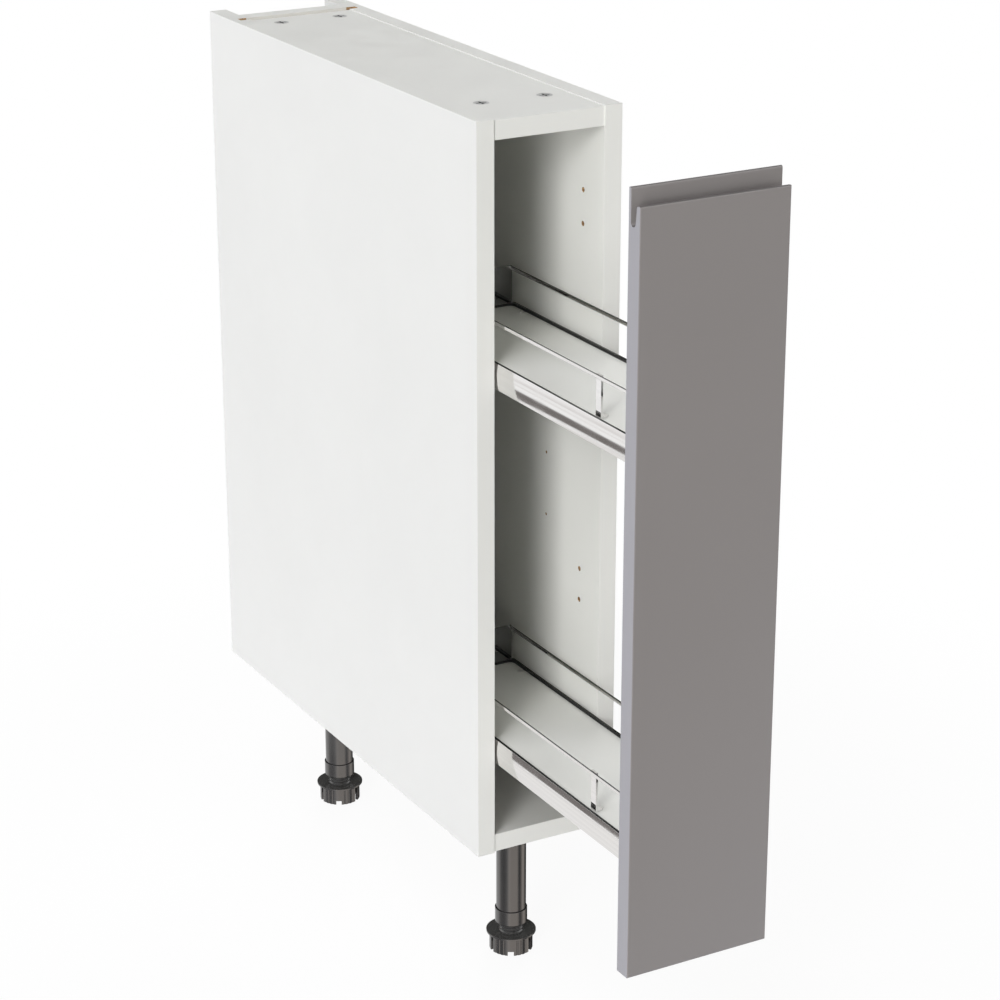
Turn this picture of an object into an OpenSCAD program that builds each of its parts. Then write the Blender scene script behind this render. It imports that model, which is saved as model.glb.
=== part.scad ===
// Narrow pull-out base cabinet: a 150 mm carcass on two adjustable legs, with a grooved
// front panel and two trays that slide out together on ball-bearing runners.
// X runs across the width, the front looks towards -Y, Z = 0 is the floor.
// The origin is under the middle of the object, which is drawn pulled out part of the way.

/* [Carcass] */
// Width of the carcass
cab_w = 150; // [146:1:200]
// Height of the carcass without its legs
cab_h = 720; // [700:1:780]
// Depth of the carcass
cab_d = 570; // [560:1:620]
// Thickness of the boards
board_t = 18; // [16:0.5:19]
// Thickness of the strips on the front edges
edge_t = 0.8; // [0.4:0.1:2]
// Depth of the top and bottom panels from the front
shelf_d = 511; // [500:1:516]
// How far the top and bottom panels stand back from the side panels' ends and fronts
shelf_inset = 1; // [0:0.1:1.5]
// Thickness of the back panel
back_t = 8; // [6:0.5:9]
// Depth of the grooves that hold the back panel
groove_depth = 9; // [6:0.5:10]
// How far the back panel stops below the top face
back_drop = 4; // [2:0.5:10]
// Height of the fixing rail behind the back panel
back_rail_h = 90; // [60:1:120]

/* [Panel fittings] */
// Radius of a cam fitting
cam_r = 7.5; // [6:0.1:8]
// Height of a cam fitting
cam_h = 12.6; // [11:0.1:13]
// Distance of a cam's axis from the side panel
cam_offset = 24; // [20:0.5:30]
// Distance of the front cams from the front of the carcass
cam_front = 67; // [50:1:90]
// Distance of the rear cams from the rear edge of the panel
cam_rear = 25; // [20:1:60]
// Radius of a cam bolt's shank
cam_bolt_r = 3.4; // [3:0.1:3.6]
// Depth of the cam bolt and the dowel in the side panel
joint_depth = 11; // [9:0.5:13]
// Radius of a dowel
dowel_r = 4; // [3:0.1:4.5]
// Length of a dowel
dowel_l = 30; // [25:1:35]
// Pitch of the drilled rows and of the joint fittings
pitch = 32; // [32:32:32]

/* [System holes] */
// Radius of the holes in the drilled pairs
pair_r = 2.5; // [2:0.1:4]
// Depth of the holes in the drilled pairs
pair_depth = 13; // [8:0.5:14]
// Distance of the drilled pairs from the front of the carcass
pair_y = 37; // [30:1:45]
// Height of the lower pair's lower hole in the carcass
pair_low_z = 228; // [200:1:240]
// Height of the upper pair's lower hole in the carcass
pair_high_z = 602; // [560:1:620]
// Radius of the two pilot holes
pilot_r = 1.5; // [1:0.1:2.5]
// Depth of the two pilot holes
pilot_depth = 10; // [6:0.5:13]
// Height of the lower pilot hole in the carcass
pilot_z = 295; // [280:1:320]

/* [Legs] */
// Height of the legs as they stand
leg_h = 150; // [140:1:170]
// Distance of the front leg from the front of the carcass
leg_front = 68.5; // [60:0.5:120]
// Distance of the rear leg from the back of the carcass
leg_rear = 114; // [90:0.5:140]
// Radius of the leg tube
tube_r = 15; // [14:0.1:17]
// Wall of the collar round the foot of the tube
collar_wall = 1.25; // [1:0.05:3]
// Height of the collar
collar_h = 15; // [10:0.5:20]
// Height of the collar's lower edge over the floor
collar_z = 30; // [28:0.5:36]
// Width of the groove between the tube and the collar's upper end
collar_groove = 0.7; // [0.2:0.1:0.8]
// Radius of the foot's threaded stud
stud_r = 12.3; // [10:0.1:12.5]
// Height of the stud's upper end over the floor
stud_top = 72; // [64:1:90]
// Pitch of the stud's thread
thread_pitch = 3.2; // [2.8:0.1:5]
// Depth of the stud's thread
thread_depth = 1.2; // [0.6:0.1:1.6]
// Radius of the foot's flange
flange_r = 25; // [23:0.5:30]
// Thickness of the foot's flange
flange_t = 1.6; // [1.2:0.1:3]
// Height of the flange's upper face over the floor
flange_z = 20; // [16:0.5:21]
// Outer radius of the foot's notched ring
base_r = 21.8; // [20:0.1:22.5]
// Wall of the notched ring
base_wall = 2.6; // [2:0.1:4]
// Radius of the leg socket's plate
socket_plate_r = 32; // [31:0.5:36]
// Thickness of the leg socket's plate
socket_plate_t = 4; // [3:0.5:6]
// Height of the leg socket
socket_h = 20; // [12:0.5:25]
// Wall of the leg socket round the tube
socket_wall = 4; // [2.5:0.5:5]

/* [Front panel] */
// How far the front stands open
open_y = 250; // [200:1:300]
// Gap between the closed front panel and the carcass
door_gap = 1.5; // [1:0.1:3]
// Thickness of the front panel
door_t = 18; // [18:0.5:22]
// Gap at each side, and under the front panel
door_margin = 1.5; // [1:0.1:3]
// Rounding of the front panel's edges
door_round = 0.8; // [0.3:0.1:1.2]
// Thickness of the lip behind the grip groove
back_lip_t = 3.8; // [3:0.1:5]
// Thickness of the front lip at its top
front_lip_t = 5; // [4:0.1:6]
// Width of the grip groove at its rounded bottom
groove_w = 7.2; // [5:0.1:7.2]
// Height of the front lip's top below the back lip's top
lip_step = 13.5; // [8:0.5:20]
// Depth of the grip groove below the front lip's top
grip_depth = 19; // [14:0.5:26]

/* [Trays] */
// Running gap between a tray and a side panel
tray_gap = 1.3; // [1:0.1:3]
// Height of the tray's side frame
frame_h = 25; // [22:0.5:32]
// Thickness of the tray's side frame
frame_t = 2.5; // [2:0.1:3]
// How far the frame's outer face bulges at mid height
frame_crown = 0.7; // [0.3:0.05:1]
// Radius of the frame's corners
frame_corner = 4; // [3.5:0.1:5]
// Height of the lower tray's lower edge in the carcass
tray_low_z = 94.5; // [94:0.5:110]
// Height of the upper tray's lower edge in the carcass
tray_high_z = 470; // [430:1:500]
// Distance from the front of the carcass back to the open tray's rear end
tray_rear = 162.5; // [140:0.5:180]
// Thickness of the tray's board
floor_t = 8; // [6:0.5:9]
// Depth of the board below the frame's upper edge
floor_recess = 2.5; // [2:0.1:4]
// Radius of the board's corners
floor_corner = 6; // [5:0.1:8]
// Thickness of the black strip round the board
seal_t = 1.2; // [0.8:0.1:2]
// Width of the ledge under the board
ledge_w = 10; // [8:0.5:14]
// Thickness of the ledge and of the cross bars
ledge_t = 1.5; // [1:0.1:2]
// Width of a cross bar
bar_w = 22; // [15:1:30]

/* [Gallery] */
// Height of the rail's upper edge over the frame
rail_rise = 37; // [30:0.5:45]
// Height of the rail's section
rail_h = 3.8; // [3:0.1:6]
// Thickness of the rail's section
rail_t = 2.2; // [2.1:0.1:3]
// How far the rail stands in from the tray's side
rail_inset = 4; // [3.2:0.1:4.5]
// Width of a post
post_w = 8.5; // [7:0.1:10]
// Thickness of a post
post_t = 2; // [1.5:0.1:2.5]
// Length of a post's foot
post_foot = 9.5; // [8:0.1:12]
// Thickness of a post's foot
foot_t = 1.5; // [1:0.1:2]
// Distance of the posts in front of the carcass when the trays stand open
post_y = 169; // [150:1:190]
// Thickness of the rear guard
guard_t = 1.5; // [1:0.1:2]
// Distance of the board clips in front of the tray's rear end
clip_y = 30; // [20:1:60]

/* [Runners] */
// Length of a runner
runner_l = 450; // [440:1:450]
// Distance of a runner from the front of the carcass
runner_y = 3; // [2:0.5:6]
// Height of a runner's section
runner_h = 45; // [45:0.5:46]
// Gap between a runner and the tray above it
runner_drop = 2; // [1:0.1:4]
// Radius of the balls
ball_r = 1.5; // [1.3:0.05:1.55]
// Length of a ball cage
cage_l = 200; // [180:1:220]
// Pitch of the balls in a cage
ball_pitch = 25; // [20:1:40]

/* [Front frame] */
// Thickness of the steel plates
plate_t = 2; // [1.5:0.1:2.5]
// Width of the upright channel
upright_w = 56; // [50:1:60]
// Depth of the upright channel
upright_d = 20; // [16:0.5:20]
// Height of the upright's lower end in the carcass
upright_z = 60; // [50:1:80]
// Distance of the upright's upper end below the carcass's top
upright_drop = 80; // [60:1:160]
// Height of a front panel bracket
bracket_h = 84; // [70:1:100]
// Width of a front panel bracket
bracket_w = 92; // [84:1:94]
// Width of the shelf on a tray bracket
shelf_w = 34; // [30:1:40]

/* [Hidden] */
$fn = 64;
eps = 0.01;
fit = 0.05;
loose = 0.15;

total_d = cab_d + open_y + door_gap + door_t;
y_front = -total_d / 2 + open_y + door_gap + door_t;
y_back = y_front + cab_d;
z_low = leg_h;
z_high = leg_h + cab_h;
z_bottom = z_low + shelf_inset;
z_top = z_high - shelf_inset;
x_out = cab_w / 2;
x_in = x_out - board_t;
y_shelf = y_front + shelf_d;
y_leg_front = y_front + leg_front;
y_leg_rear = y_back - leg_rear;
x_cam = x_in - cam_offset;
y_cams = [y_front + cam_front, y_shelf - cam_rear];
y_dowels = [y_cams[0] + pitch, y_cams[1] - pitch];
sides = [-1, 1];

y_door = y_front - open_y - door_gap - door_t;
y_door_back = y_door + door_t;
door_w = cab_w - 2 * door_margin;
door_h = cab_h - 2 * door_margin;
z_door = z_low + door_margin;

y_upright = y_door_back + plate_t;
y_tray = y_upright + upright_d;
y_tray_rear = y_front + tray_rear;
tray_w = 2 * (x_in - tray_gap);
tray_zs = [z_low + tray_low_z, z_low + tray_high_z];
floor_z = frame_h - floor_recess - floor_t;
floor_top = frame_h - floor_recess;
floor_in = frame_t + seal_t + fit;
rail_w = tray_w - 2 * rail_inset;
rail_top = frame_h + rail_rise;
y_guard = y_tray_rear - frame_t;
bar_ys = [y_tray + 60, (y_tray + y_tray_rear) / 2, y_tray_rear - 60];

runner_zs = [for (z = tray_zs) z - runner_drop - runner_h / 2];
y_runner = y_front + runner_y;
y_middle = y_runner - open_y / 2;
y_inner = y_runner - open_y;
y_cage_mid = y_runner + runner_l / 2;
runner_d = 12.7;
x_bracket = x_in - runner_d;
outer_screw_ys = [34, runner_l / 2 + 33, runner_l - 32];
slot_ys = [60, runner_l / 2, runner_l - 60];
bracket_l = runner_l - 78;
bracket_screw_ys = [60, bracket_l / 2 - 6, bracket_l - 72];
bracket_slot_ys = [110, bracket_l / 2 + 44, bracket_l - 42];

white_board = "#e9e9e7";
grey_front = "#888380";
bright = "#c9c9cb";
zinc = "#8f9294";
black_part = "#2b2b2c";
raw_wood = "#b98f5c";
pale_floor = "#d6d7d2";

// A box from its lowest corner to its highest corner
module span(low, high) {
    translate(low) cube(high - low);
}

// A rectangle with round corners, centred across X, from y_a to y_b
module round_rect(w, y_a, y_b, r) {
    translate([-w / 2 + r, y_a]) square([w - 2 * r, y_b - y_a]);
    translate([-w / 2, y_a + r]) square([w, y_b - y_a - 2 * r]);
    for (sx = sides) for (y = [y_a + r, y_b - r]) translate([sx * (w / 2 - r), y]) circle(r);
}

// Draws an outline of X and Z along Y
module along_y(y_a, y_b) {
    translate([0, y_b, 0]) rotate([90, 0, 0]) linear_extrude(y_b - y_a) children();
}

// Sweeps an outline, drawn inward from the outer face, round a rectangle with round corners
module sweep_ring(w, y_a, y_b, r, rear = true) {
    y_end = rear ? y_b - r : y_b;
    translate([-w / 2, 0, 0]) along_y(y_a + r, y_end) children();
    translate([w / 2, 0, 0]) mirror([1, 0, 0]) along_y(y_a + r, y_end) children();
    translate([w / 2 - r, y_a, 0]) rotate(90) along_y(0, w - 2 * r) children();
    translate([w / 2 - r, y_a + r, 0]) rotate(270) bend(r) children();
    translate([-w / 2 + r, y_a + r, 0]) rotate(180) bend(r) children();
    if (rear) {
        translate([-w / 2 + r, y_b, 0]) rotate(-90) along_y(0, w - 2 * r) children();
        translate([w / 2 - r, y_b - r, 0]) bend(r) children();
        translate([-w / 2 + r, y_b - r, 0]) rotate(90) bend(r) children();
    }
}

// A quarter turn of the outline, with its outer face at radius r
module bend(r) {
    rotate_extrude(angle = 90) translate([r, 0]) mirror([1, 0]) children();
}

// A cylinder along X, from x towards side sx
module rod_x(x, y, z, sx, r, l) {
    translate([x, y, z]) rotate([0, sx * 90, 0]) cylinder(r = r, h = l);
}

// A cylinder along Y from y, towards +Y where s is 1 and towards -Y where it is -1
module rod_y(x, y, z, s, r, l) {
    translate([x, y, z]) rotate([-s * 90, 0, 0]) cylinder(r = r, h = l);
}

// Joint fittings: the height of their axes in the top and bottom panels
joint_zs = [z_bottom + board_t / 2, z_top - board_t / 2];

module joint_bores(gap) {
    for (z = joint_zs) {
        for (y = y_cams) for (sx = sides)
            rod_x(sx * (x_cam - cam_bolt_r), y, z, sx, cam_bolt_r + gap,
                cam_offset + cam_bolt_r + joint_depth + gap);
        for (y = y_dowels) for (sx = sides)
            rod_x(sx * (x_in + joint_depth + gap - dowel_l - 2 * gap), y, z, sx, dowel_r + gap,
                dowel_l + 2 * gap);
    }
}

module system_holes(sx) {
    for (z0 = [pair_low_z, pair_high_z]) for (dz = [0, pitch])
        rod_x(sx * (x_in - eps), y_front + pair_y, z_low + z0 + dz, sx, pair_r,
            pair_depth + eps);
    for (dz = [0, 2 * pitch])
        rod_x(sx * (x_in - eps), y_front + pair_y + 2 * pitch, z_low + pilot_z + dz, sx,
            pilot_r, pilot_depth + eps);
}

module side_panel(sx) {
    difference() {
        span([min(sx * x_in, sx * x_out), y_front + edge_t, z_low],
            [max(sx * x_in, sx * x_out), y_back, z_high]);
        translate([sx > 0 ? x_in - eps : -x_in - groove_depth, y_shelf, z_low - eps])
            cube([groove_depth + eps, back_t + 2 * loose, cab_h + 2 * eps]);
        joint_bores(fit);
        system_holes(sx);
        if (sx > 0) for (z = runner_zs) for (dy = outer_screw_ys)
            rod_x(x_in - eps, y_runner + dy, z, 1, screw_r + fit, screw_l + eps);
    }
}

module side_panel_left() { color(white_board) side_panel(-1); }
module side_panel_right() { color(white_board) side_panel(1); }

module shelf_panel(z, cam_face) {
    difference() {
        span([-x_in, y_front + shelf_inset + edge_t, z], [x_in, y_shelf, z + board_t]);
        joint_bores(fit);
        for (y = y_cams) for (sx = sides) translate([sx * x_cam, y, cam_face])
            cylinder(r = cam_r + fit, h = 2 * (cam_h + loose), center = true);
    }
}

module top_panel() { color(white_board) shelf_panel(z_top - board_t, z_top); }

module bottom_panel() {
    color(white_board) difference() {
        shelf_panel(z_bottom, z_bottom);
        for (y = [y_leg_front, y_leg_rear]) leg_screw_places(y)
            cylinder(r = screw_r + fit, h = leg_screw_l + eps);
    }
}

module back_panel() {
    color(white_board)
        span([-x_in - groove_depth + 2 * loose, y_shelf + loose, z_low],
            [x_in + groove_depth - 2 * loose, y_shelf + loose + back_t, z_high - back_drop]);
}

module back_rail() {
    y = y_shelf + 2 * loose + back_t;
    color(white_board)
        span([-x_in, y, z_high - back_rail_h], [x_in, y + board_t, z_high]);
}

module edge_strips() {
    color(white_board) {
        for (sx = sides)
            span([min(sx * x_in, sx * x_out), y_front, z_low],
                [max(sx * x_in, sx * x_out), y_front + edge_t, z_high]);
        y_strip = y_front + shelf_inset;
        for (z = [z_bottom, z_top - board_t])
            span([-x_in, y_strip, z], [x_in, y_strip + edge_t, z + board_t]);
    }
}

// One cam fitting with its head at z = 0 and its body below, open towards side sx
cross_w = 2.2;
cross_l = 11;
cross_depth = 2.4;
module cam(sx) {
    difference() {
        translate([0, 0, -cam_h]) cylinder(r = cam_r, h = cam_h);
        translate([0, 0, -cross_depth / 2]) {
            cube([cross_l, cross_w, cross_depth + eps], center = true);
            cube([cross_w, cross_l, cross_depth + eps], center = true);
        }
        rod_x(-sx * (cam_bolt_r + loose), 0, -board_t / 2, sx, cam_bolt_r + loose, 2 * cam_r);
    }
}

module cams_top() {
    color(zinc) for (y = y_cams) for (sx = sides)
        translate([sx * x_cam, y, z_top]) cam(sx);
}

module cams_bottom() {
    color(zinc) for (y = y_cams) for (sx = sides)
        translate([sx * x_cam, y, z_bottom]) mirror([0, 0, 1]) cam(sx);
}

module cam_bolts() {
    neck_r = 2.4;
    neck_l = 5;
    color(zinc) for (z = joint_zs) for (y = y_cams) for (sx = sides) {
        x = x_cam - cam_bolt_r + fit;
        rod_x(sx * x, y, z, sx, cam_bolt_r, 2 * cam_bolt_r);
        rod_x(sx * (x + 2 * cam_bolt_r), y, z, sx, neck_r, neck_l);
        rod_x(sx * (x + 2 * cam_bolt_r + neck_l), y, z, sx, cam_bolt_r,
            cam_offset + joint_depth - cam_bolt_r - neck_l - 2 * fit);
    }
}

module dowels() {
    color(raw_wood) for (z = joint_zs) for (y = y_dowels) for (sx = sides)
        rod_x(sx * (x_in + joint_depth - dowel_l), y, z, sx, dowel_r, dowel_l);
}

// Screws: a shank and a flat head, with the head's face at z = 0 and the shank above it
screw_r = 1.9;
screw_l = 12;
leg_screw_l = 13;
screw_circle = 26;
head_r = 3.8;
head_h = 2.2;

module leg_screw_places(y) {
    for (a = [45:90:315]) translate([screw_circle * cos(a), y + screw_circle * sin(a), z_bottom])
        children();
}

module leg_socket(y) {
    boss_r = tube_r + socket_wall;
    difference() {
        translate([0, y, z_bottom]) union() {
            translate([0, 0, -socket_plate_t])
                cylinder(r = socket_plate_r, h = socket_plate_t);
            translate([0, 0, -socket_h]) cylinder(r = boss_r, h = socket_h);
            for (a = [0:90:270]) rotate(a) translate([boss_r - 1, 0, -socket_plate_t])
                rotate([90, 0, 0]) linear_extrude(2, center = true)
                    polygon([[0, 0], [9, 0], [0, -12]]);
        }
        translate([0, y, z_bottom - socket_h - eps])
            cylinder(r = tube_r + fit, h = socket_h + 2 * eps);
        leg_screw_places(y) translate([0, 0, -socket_plate_t - eps])
            cylinder(r = screw_r + fit, h = socket_plate_t + 2 * eps);
    }
}

module leg_socket_front() { color(black_part) leg_socket(y_leg_front); }
module leg_socket_rear() { color(black_part) leg_socket(y_leg_rear); }

module leg_screws() {
    color(zinc) for (y = [y_leg_front, y_leg_rear]) leg_screw_places(y) {
        translate([0, 0, -socket_plate_t])
            cylinder(r = screw_r, h = socket_plate_t + leg_screw_l - fit);
        translate([0, 0, -socket_plate_t - head_h]) cylinder(r = head_r, h = head_h);
    }
}

module leg_tube(y) {
    lip = 1;
    bore_top = stud_top + 14;
    translate([0, y, 0]) difference() {
        translate([0, 0, collar_z + lip])
            cylinder(r = tube_r, h = z_bottom - collar_z - lip);
        translate([0, 0, collar_z]) cylinder(r = stud_r + fit, h = bore_top - collar_z);
        translate([0, 0, bore_top + 2]) cylinder(r = tube_r - 3, h = z_bottom - bore_top);
    }
}

module leg_tube_front() { color(black_part) leg_tube(y_leg_front); }
module leg_tube_rear() { color(black_part) leg_tube(y_leg_rear); }

module leg_collar(y) {
    lip = 1;
    round_r = 0.6;
    collar_r = tube_r + collar_wall;
    translate([0, y, collar_z]) rotate_extrude() difference() {
        union() {
            square([collar_r - round_r, collar_h]);
            translate([0, round_r]) square([collar_r, collar_h - round_r]);
            translate([collar_r - round_r, round_r]) circle(round_r);
        }
        translate([0, lip]) square([tube_r + fit / 2, collar_h]);
        translate([0, -eps]) square([stud_r + fit, collar_h]);
        translate([0, collar_h - 1.6 * collar_groove])
            square([tube_r + collar_groove, collar_h]);
    }
}

module leg_collar_front() { color(black_part) leg_collar(y_leg_front); }
module leg_collar_rear() { color(black_part) leg_collar(y_leg_rear); }

// The foot: a hollow stud with a flange, and a ring with slots, notches and flutes
notch_w = 6.1;
notch_h = 4.4;
slot_w = 4.4;
flute_r = 1.1;
hub_r = 9;
stud_wall = 4;

module foot_ring_outline() {
    difference() {
        circle(base_r);
        circle(base_r - base_wall);
        for (a = [60:120:300]) rotate(a) translate([hub_r, -slot_w / 2])
            square([base_r, slot_w]);
        for (a = [0:120:240]) for (da = [-42:12:42]) if (abs(da) > 10)
            rotate(a + da) translate([base_r + flute_r / 2, 0]) circle(flute_r, $fn = 16);
    }
}

module thread_groove(z) {
    r_low = stud_r - thread_depth;
    half = 0.44 * thread_pitch;
    polygon([[r_low, z - 0.4 * half], [stud_r, z - half], [stud_r + 1, z - half],
        [stud_r + 1, z + half], [stud_r, z + half], [r_low, z + 0.4 * half]]);
}

module leg_foot(y) {
    ring_h = flange_z - flange_t;
    rib_t = 1.6;
    rib_z = 3;
    translate([0, y, 0]) difference() {
        union() {
            rotate_extrude() difference() {
                union() {
                    translate([0, rib_z]) square([hub_r, flange_z - rib_z]);
                    translate([0, ring_h]) square([flange_r, flange_t]);
                    translate([0, ring_h]) square([stud_r, stud_top - ring_h]);
                }
                translate([-1, flange_z + 4]) square([stud_r - stud_wall + 1, stud_top]);
                for (z = [flange_z + 1.6:thread_pitch:stud_top - 8]) thread_groove(z);
            }
            linear_extrude(ring_h + eps) foot_ring_outline();
            translate([0, 0, rib_z]) linear_extrude(ring_h - rib_z + eps)
                for (a = [30:60:330]) rotate(a) translate([hub_r - 1, -rib_t / 2])
                    square([base_r - base_wall / 2 - hub_r + 1, rib_t]);
        }
        for (a = [0:120:240]) rotate(a) translate([base_r - 2 * base_wall, -notch_w / 2, -1])
            cube([3 * base_wall, notch_w, notch_h + 1]);
    }
}

module leg_foot_front() { color(black_part) leg_foot(y_leg_front); }
module leg_foot_rear() { color(black_part) leg_foot(y_leg_rear); }

// Runner sections: s runs from the side panel inwards, t runs up from the section's middle
ball_gap = 0.2;
track_r = ball_r + ball_gap;
s_track_a = 5.4;
s_track_b = 8.6;
t_track_a = runner_h / 2 - 2.9;
t_track_b = t_track_a - 5.9;
web_t = 1.3;

module on_panel(z, y, l) {
    translate([x_in, y, z]) rotate([90, 0, 180]) linear_extrude(l) children();
}

module both_halves() {
    children();
    mirror([0, 1]) children();
}

module box_2d(s_a, t_a, s_b, t_b) {
    translate([s_a, t_a]) square([s_b - s_a, t_b - t_a]);
}

module outer_section() {
    half = runner_h / 2;
    both_halves() difference() {
        union() {
            box_2d(0, -eps, web_t, half);
            box_2d(0, t_track_a + track_r, s_track_a + 2.5, half);
            box_2d(s_track_a - 2.5, t_track_a + 0.9, s_track_a + 2.5, half);
        }
        translate([s_track_a, t_track_a]) circle(track_r);
    }
}

module middle_section() {
    both_halves() difference() {
        union() {
            box_2d(s_track_a - 0.6, -eps, s_track_a + 0.6, t_track_a - track_r - 1);
            box_2d(s_track_a - 2.5, t_track_b + 1.9, s_track_a + 2.5, t_track_a - 0.9);
            box_2d(s_track_a - 0.6, t_track_b + 0.9, s_track_b + 2.3, t_track_a - track_r - 0.9);
        }
        translate([s_track_a, t_track_a]) circle(track_r);
        translate([s_track_b, t_track_b]) circle(track_r);
    }
}

module inner_section() {
    both_halves() difference() {
        union() {
            box_2d(runner_d - 1.2, -eps, runner_d, t_track_b - 0.9);
            box_2d(s_track_b - 1.5, t_track_b - track_r - 1.6, runner_d, t_track_b - 0.9);
        }
        translate([s_track_b, t_track_b]) circle(track_r);
    }
}

cage_t = 0.8;
module cage_section(s_web, s_end, t_row, web) {
    both_halves() {
        box_2d(s_web, -eps, s_web + web, t_row + cage_t / 2);
        box_2d(s_web, t_row - cage_t / 2, s_end, t_row + cage_t / 2);
    }
}

module ball_places(z, y_mid, s, t_row) {
    count = floor((cage_l - 20) / ball_pitch);
    for (i = [0:count]) for (st = sides)
        translate([x_in - s, y_mid + (i - count / 2) * ball_pitch, z + st * t_row]) children();
}

module runner_outer(z) {
    difference() {
        on_panel(z, y_runner, runner_l) outer_section();
        for (dy = outer_screw_ys) {
            rod_x(x_in - web_t - eps, y_runner + dy, z, 1, screw_r + fit, web_t + 2 * eps);
            translate([x_in - web_t - eps, y_runner + dy, z]) rotate([0, 90, 0])
                cylinder(r1 = head_r + fit, r2 = screw_r + fit, h = web_t - 0.1);
        }
    }
}

module runner_screws() {
    color(zinc) for (z = runner_zs) for (dy = outer_screw_ys) {
        translate([x_in - web_t, y_runner + dy, z]) rotate([0, 90, 0])
            cylinder(r1 = head_r, r2 = screw_r, h = web_t - 0.1);
        rod_x(x_in - 0.2, y_runner + dy, z, 1, screw_r, screw_l + 0.2 - fit);
    }
}

module runner_middle(z) {
    slot_l = 22;
    difference() {
        on_panel(z, y_middle, runner_l) middle_section();
        for (dy = slot_ys) for (s = [-1, 1])
            rod_x(x_in - s_track_a + 2, y_middle + dy + s * slot_l / 2, z, -1, 4.5, 4);
        for (dy = slot_ys)
            span([x_in - s_track_a - 2, y_middle + dy - slot_l / 2, z - 4.5],
                [x_in - s_track_a + 2, y_middle + dy + slot_l / 2, z + 4.5]);
    }
}

module runner_inner(z) {
    difference() {
        on_panel(z, y_inner, runner_l) inner_section();
        for (dy = bracket_screw_ys)
            rod_x(x_in - runner_d - eps, y_tray + dy, z, 1, screw_r + fit, 1.2 + 2 * eps);
    }
}

module cage(z, y_mid, s_web, s_end, s, t_row, web) {
    difference() {
        on_panel(z, y_mid - cage_l / 2, cage_l) cage_section(s_web, s_end, t_row, web);
        ball_places(z, y_mid, s, t_row)
            cylinder(r = ball_r + 0.1, h = 2 * cage_t, center = true);
    }
}

module cage_outer(z) {
    cage(z, y_cage_mid - open_y / 4, 1.8, s_track_a + 2.2, s_track_a, t_track_a, 0.6);
}

module cage_inner(z) {
    cage(z, y_cage_mid - open_y * 3 / 4, s_track_a + 0.9, s_track_b + 2, s_track_b, t_track_b, 0.4);
}

module balls_outer(z) {
    ball_places(z, y_cage_mid - open_y / 4, s_track_a, t_track_a) sphere(ball_r, $fn = 24);
}

module balls_inner(z) {
    ball_places(z, y_cage_mid - open_y * 3 / 4, s_track_b, t_track_b) sphere(ball_r, $fn = 24);
}

module runner_outer_lower() { color(zinc) runner_outer(runner_zs[0]); }
module runner_outer_upper() { color(zinc) runner_outer(runner_zs[1]); }
module runner_middle_lower() { color(zinc) runner_middle(runner_zs[0]); }
module runner_middle_upper() { color(zinc) runner_middle(runner_zs[1]); }
module runner_inner_lower() { color(zinc) runner_inner(runner_zs[0]); }
module runner_inner_upper() { color(zinc) runner_inner(runner_zs[1]); }
module cage_outer_lower() { color(zinc) cage_outer(runner_zs[0]); }
module cage_outer_upper() { color(zinc) cage_outer(runner_zs[1]); }
module cage_inner_lower() { color(zinc) cage_inner(runner_zs[0]); }
module cage_inner_upper() { color(zinc) cage_inner(runner_zs[1]); }
module balls_outer_lower() { color(bright) balls_outer(runner_zs[0]); }
module balls_outer_upper() { color(bright) balls_outer(runner_zs[1]); }
module balls_inner_lower() { color(bright) balls_inner(runner_zs[0]); }
module balls_inner_upper() { color(bright) balls_inner(runner_zs[1]); }

// The bracket between a runner's inner member and its tray: a drop, a shelf and a front tab
module tray_bracket(z_tray, z_run) {
    z_shelf = z_tray + floor_z - ledge_t;
    x_shelf = x_bracket - shelf_w;
    z_foot = z_run - t_track_b + 0.9;
    y_end = y_tray + bracket_l;
    x_web = x_bracket - plate_t;
    difference() {
        union() {
            span([x_web, y_tray, z_foot], [x_bracket, y_end, z_shelf]);
            span([x_shelf, y_tray, z_shelf - plate_t], [x_bracket, y_end, z_shelf]);
            span([x_shelf, y_tray, z_foot], [x_bracket, y_tray + plate_t, z_tray - 1]);
        }
        span([x_shelf - eps, y_tray - eps, z_tray - 1],
            [x_bracket + eps, y_tray + frame_t + 0.4, z_shelf + eps]);
        for (dy = bracket_screw_ys)
            rod_x(x_web - eps, y_tray + dy, z_run, 1, screw_r + fit, plate_t + 2 * eps);
        for (dz = tab_screw_zs)
            rod_y(upright_screw_x, y_tray - eps, z_run + dz, 1, screw_r + fit, plate_t + 1);
        for (dy = bracket_slot_ys) {
            for (s = sides)
                translate([x_shelf + shelf_w / 2 - 1, y_tray + dy + s * 18, z_shelf - plate_t - 1])
                    cylinder(r = 8, h = plate_t + 2);
            span([x_shelf + shelf_w / 2 - 9, y_tray + dy - 18, z_shelf - plate_t - 1],
                [x_shelf + shelf_w / 2 + 7, y_tray + dy + 18, z_shelf + 1]);
        }
    }
}

upright_screw_x = 19;
tray_screw_z = 6;
rail_screw_x = 14;
rail_tab_h = 12;
rail_screw_z = rail_top - 8;
tab_screw_zs = [-6, 14];

module tray_bracket_lower() { color(zinc) tray_bracket(tray_zs[0], runner_zs[0]); }
module tray_bracket_upper() { color(zinc) tray_bracket(tray_zs[1], runner_zs[1]); }

module bracket_screws() {
    pan_h = 2;
    tip = 1.6;
    color(zinc) for (z = runner_zs) for (dy = bracket_screw_ys) {
        rod_x(x_bracket - plate_t - pan_h, y_tray + dy, z, 1, head_r, pan_h);
        rod_x(x_bracket - plate_t - eps, y_tray + dy, z, 1, screw_r, plate_t + 1.2 + tip);
    }
}

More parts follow.
